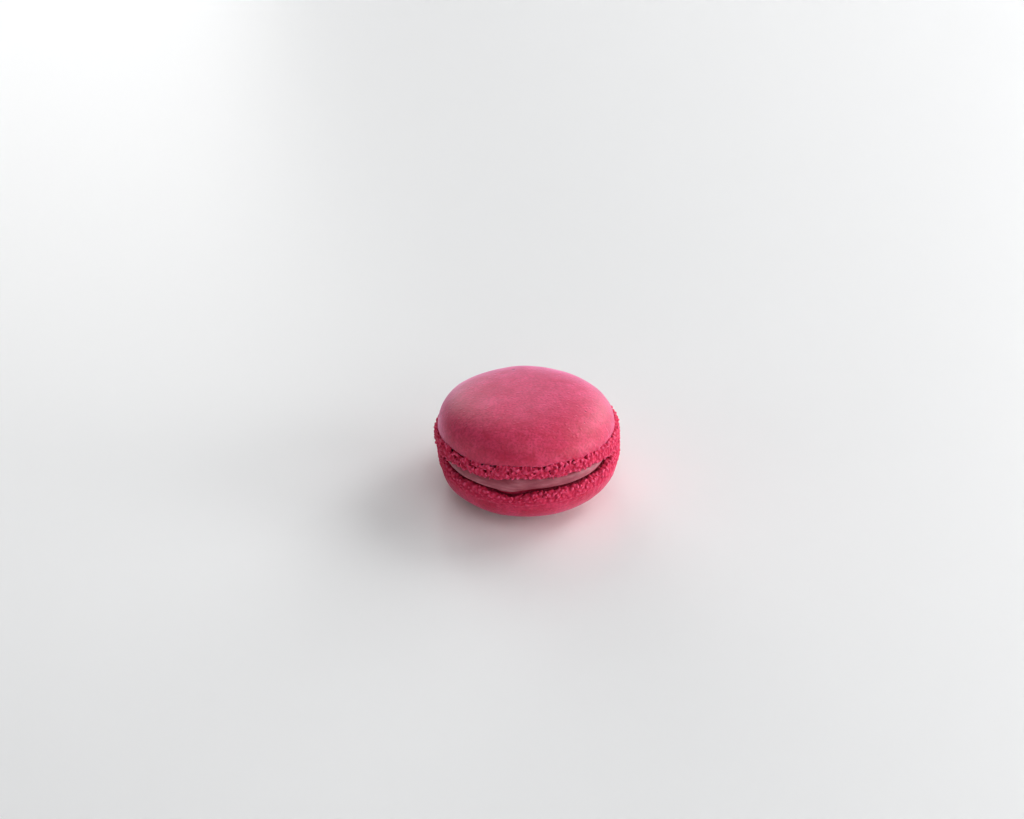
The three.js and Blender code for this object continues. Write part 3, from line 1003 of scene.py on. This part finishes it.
@dataclass
class Filling:
    """The cream between the shells: a soft disc with a bulging, drooping edge."""

    stack: Stack
    upper_rim: Waves  # of the upper foot, which presses its upper edge down
    lower_rim: Waves  # of the lower foot, which carries its lower edge
    sag: float = 0.68  # share of a dip in the lower foot that it sags into
    droops: Waves = ((-15, 10, -0.55), (-45, 12, -0.2), (22, 9, 0.25))
    spreads: Waves = ((-42, 26, 1.2), (-12, 8, 0.3), (-70, 13, 1.4), (28, 12, 0.4))  # outwards
    radius: float = 22.0
    side_radius: float = 20.2
    bulges_to: float = 42.0
    clearance: float = 0.1
    pressed: float = 0.85
    ragged: float = 0.25
    widest: float = 0.48  # how far up between the shells
    inset_below: float = 2.3  # of the edge where it meets the lower shell, from the widest part
    inset_above: float = 2.7
    edge_power: float = 0.6  # below 1 for a fuller edge
    droop_share: float = 0.12  # of the gap, for each mm
    spread_from: Span = (4.0, 12.0)  # from the axis
    foot_within: Span = (2.5, 1.0)  # of its own radius, where the feet press it
    past_within: Span = (1.0, 0.3)  # where it is past the shells' flat faces
    uneven: tuple[Noise, Noise] = ((0.2, 5.0), (0.06, 1.6))
    seed: int = 11
    edge_share: Pair = (0.28, 0.72)  # of the ball's rows, kept for the edge that shows
    edge_steps: int = 60
    cuts: int = 79

    def build(self, finish: BerryCream) -> Object:
        """Builds and dresses the filling."""
        cream = rounded_ball("cream_filling", self.cuts)
        self.shape(cream)
        finished(cream, finish.material())
        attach(cream, BODY)
        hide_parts("filling")
        return cream

    def outline(self) -> Outline:
        """Works out the outline from the middle of the underside round the edge to the middle of the top.

        Returns:
            Each point's share of the way, radius, and height from 0 at the lower shell to 1.
        """
        turn = np.linspace(-math.pi / 2, math.pi / 2, self.edge_steps)
        inset = np.where(turn < 0, self.inset_below, self.inset_above)
        r = self.radius - inset * (1 - np.cos(turn) ** self.edge_power)
        up = self.widest + np.where(turn < 0, self.widest, 1 - self.widest) * np.sin(turn)
        first, last = self.edge_share
        share = first + np.linspace(0, 1, self.edge_steps) * (last - first)
        return np.array([0, *share, 1]), np.array([0, *r, 0]), np.array([0, *up, 1])

    def shape(self, cream: Object) -> None:
        """Shapes a ball into the disc, then bulges, droops and spreads it between the two shells."""
        ball = points_of(cream)
        share, outline_r, outline_up = self.outline()
        way = 1 - np.arccos(np.clip(ball[:, 2], -1, 1)) / math.pi
        reach = np.maximum(np.interp(way, share, outline_r), 1e-6)
        up = np.interp(way, share, outline_up)
        flat = np.maximum(np.hypot(ball[:, 0], ball[:, 1]), 1e-9)
        points = np.column_stack([ball[:, :2] * (reach / flat)[:, None], up])
        angle = angle_of(points)
        to_side = smoothstep(np.abs(angle), self.bulges_to, self.stack.gap_opens_from)
        (wavy, wavy_patch), (rough, rough_patch) = self.uneven
        uneven = wavy * soft_noise(points * [1, 1, 0], wavy_patch, self.seed)
        uneven += rough * soft_noise(points, rough_patch, self.seed + 1)
        spread = waves(self.spreads, angle) + uneven
        near_edge = smoothstep(reach, *self.spread_from)
        out = (to_side * (self.side_radius - self.radius) + spread) * near_edge
        points[:, :2] *= (1 + out / reach)[:, None]
        up = up + waves(self.droops, angle) * self.droop_share * np.sin(math.pi * up)
        under_foot, past_body = (
            smoothstep(reach, self.radius - start, self.radius - end)
            for start, end in (self.foot_within, self.past_within)
        )
        angle = angle_of(points)
        upper_foot = np.maximum(0, -waves(self.upper_rim, angle)) + self.stack.rim_reach(angle)
        lower_foot = self.stack.rim_reach(angle) + waves(self.lower_rim, angle)
        x, y = points[:, 0], points[:, 1]
        low = self.stack.lower_face(x, y) + self.clearance
        low += under_foot * (self.ragged + np.maximum(0, lower_foot))
        low += past_body * self.sag * np.minimum(0, lower_foot)
        high = self.stack.upper_face(x, y) - self.clearance - under_foot * (self.pressed + upper_foot)
        points[:, 2] = low + (high - low) * up
        set_points(cream, points + self.stack.centring)


# ---- floor, light and camera ----


@dataclass(frozen=True)
class SoftBox:
    """A soft light aimed at the macaron."""

    name: str
    azimuth: float  # degrees from straight behind, positive to the right
    elevation: float
    watts: float
    distance: float = 1.0  # metres
    width: float = 0.45

    def build(self) -> None:
        """Adds the light."""
        light = bpy.data.lights.new(self.name, "AREA")
        light.size = self.width
        light.energy = self.watts
        turn, rise = math.radians(self.azimuth), math.radians(self.elevation)
        away = Vector((math.sin(turn) * math.cos(rise), math.cos(turn) * math.cos(rise), math.sin(rise)))
        lamp = bpy.data.objects.new(self.name, light)
        lamp.location = away * self.distance
        lamp.rotation_euler = away.to_track_quat("Z", "Y").to_euler()
        bpy.context.collection.objects.link(lamp)


@dataclass(frozen=True)
class Studio:
    """A plain pale table with soft lights round it, most of them behind it and to the right."""

    table_size: float = 1.8
    sky: str = "#f2f4f8"
    sky_strength: float = 0.04  # of its light, which is far less than the bright wall that shows
    wall: str = "#e9eaec"
    lights: Sequence[SoftBox] = (
        SoftBox("left_low", -110, 14, 0.9),
        SoftBox("behind_left_low", -23, 14, 2.0),
        SoftBox("behind_left_high", -20, 38, 1.3),
        SoftBox("behind_right_low", 38, 14, 3.3),
        SoftBox("right_high", 60, 38, 4.5),
        SoftBox("right_low", 95, 14, 5.5),
        SoftBox("front_right", 130, 20, 2.1),
        SoftBox("front_high", 180, 66, 1.7),
        SoftBox("front_low", 160, 22, 0.8),
    )

    def build(self) -> None:
        """Adds the table, the sky and the lights."""
        bpy.ops.mesh.primitive_plane_add(size=self.table_size)
        table = finished(bpy.context.object, GlazedWhite().material())
        table.name = "table"
        world = bpy.data.worlds.new("sky")
        world.use_nodes = True
        tree = world.node_tree
        tree.nodes.clear()
        glow = add(tree, "Background", {"Color": linear(self.sky), "Strength": self.sky_strength})
        wall = add(tree, "Background", {"Color": linear(self.wall)})
        seen = add(tree, "LightPath", {}).outputs["Is Camera Ray"]
        both = add(tree, "MixShader", [seen, glow, wall])
        add(tree, "OutputWorld", {"Surface": both})
        bpy.context.scene.world = world
        for light in self.lights:
            light.build()
        bpy.context.scene.view_settings.view_transform = "Standard"


@dataclass(frozen=True)
class Viewpoint:
    """A long lens looking down on the front of the macaron."""

    frame_px: tuple[int, int] = (1024, 819)
    base_px: Pair = (525.91, 483.99)  # where the middle of the base shows
    lens_mm: float = 95.0
    sensor_mm: float = 36.0
    distance: float = 0.7  # metres, to the base along the line of sight
    elevation: float = 33.2
    roll: float = 1.17

    def build(self) -> None:
        """Adds the camera and makes it the scene's own."""
        rise, roll = math.radians(self.elevation), math.radians(self.roll)
        level = Vector((1, 0, 0))
        upward = Vector((0, math.sin(rise), math.cos(rise)))
        forward = Vector((0, math.cos(rise), -math.sin(rise)))
        right = level * math.cos(roll) + upward * math.sin(roll)
        up = upward * math.cos(roll) - level * math.sin(roll)
        per_px = self.distance * self.sensor_mm / (self.lens_mm * self.frame_px[0])
        aside = (self.base_px[0] - self.frame_px[0] / 2) * per_px
        below = (self.base_px[1] - self.frame_px[1] / 2) * per_px
        camera = bpy.data.objects.new("camera", bpy.data.cameras.new("camera"))
        camera.data.lens, camera.data.sensor_width = self.lens_mm, self.sensor_mm
        camera.data.clip_start = 0.01
        place = Matrix((right, up, -forward)).transposed().to_4x4()
        place.translation = up * below - right * aside - forward * self.distance
        camera.matrix_world = place
        bpy.context.collection.objects.link(camera)
        bpy.context.scene.camera = camera


def upper_shell(stack: Stack) -> UpperShell:
    """Sizes of the upper shell, whose foot has its largest holes at the front left."""
    return UpperShell(
        stack=stack,
        node="shell_top",
        side=Side.UP,
        dome_height=8.6,
        foot_height=3.2,
        foot_lip=0.6,
        pole_shift=(-1.1, 0.0),
        skin_waves=(
            (-92, 20, -0.45), (-35, 11, -0.6), (-4, 11, 0.4), (24, 12, 0.4), (76, 18, -0.4), (125, 22, 0.3),
            (-150, 25, 0.3),
        ),
        rim_waves=((-24, 11, -0.65), (-4, 10, 0.35), (33, 14, 0.2), (-48, 14, -0.5)),
        foot_spreads=((90, 28, 0.45),),
        seed=3,
        foam=Foam(crumb=1.0, bubble=1.05, bubble_radius=0.05, bubble_lean=(-0.008, -0.006, 0.125)),
        ragged_skin=((45, 45, 0.7), (150, 60, 0.6), (-130, 30, 0.5)),
    )


def lower_shell(stack: Stack) -> LowerShell:
    """Sizes of the lower shell, whose foot is coarsest at the front right."""
    return LowerShell(
        stack=stack,
        node="shell_bottom",
        side=Side.DOWN,
        dome_height=9.45,
        foot_height=3.75,
        foot_lip=0.0,
        pole_shift=(-1.6, -0.3),
        skin_waves=((-62, 20, -0.8), (-10, 12, -0.1), (30, 18, 0.4), (120, 24, -0.3), (-135, 26, 0.3)),
        rim_waves=((-13, 13, -1.5), (12, 10, 0.1), (40, 12, 0.1), (-62, 18, -1.1)),
        foot_spreads=((72, 25, -0.3),),
        seed=7,
        foam=Foam(
            crumb=1.0, bubble_radius=0.1, bubble_lean=(0.002, -0.002, 0.0), smoother_at_skin=0.7
        ),
        ragged_skin=((40, 60, 0.7), (150, 60, 0.6), (-60, 40, 0.6)),
    )


def main() -> None:
    """Builds the macaron, the studio and the camera, and reports each piece."""
    logging.basicConfig(level=logging.INFO, format="%(message)s")
    stack = Stack()
    top, bottom = upper_shell(stack), lower_shell(stack)
    filling = Filling(stack=stack, upper_rim=top.rim_waves, lower_rim=bottom.rim_waves)
    skin = BakedSkin(bursts=((-3.8, 13.9, 26.2, 0.5), (14.5, -6.1, 26.8, 0.25)))
    rubbed_skin = BakedSkin(name="rubbed_almond_skin", bloom_weight=0.2, gloss=0.35)
    crumb = BakedCrumb()
    pieces = [*top.build(skin, crumb), filling.build(BerryCream()), *bottom.build(rubbed_skin, crumb)]
    for piece in pieces:
        corners = sum(len(face.vertices) - 2 for face in piece.data.polygons)
        LOG.info("%s: %d triangles", piece.name, corners)
    Studio().build()
    Viewpoint().build()


if __name__ == "__main__":
    main()
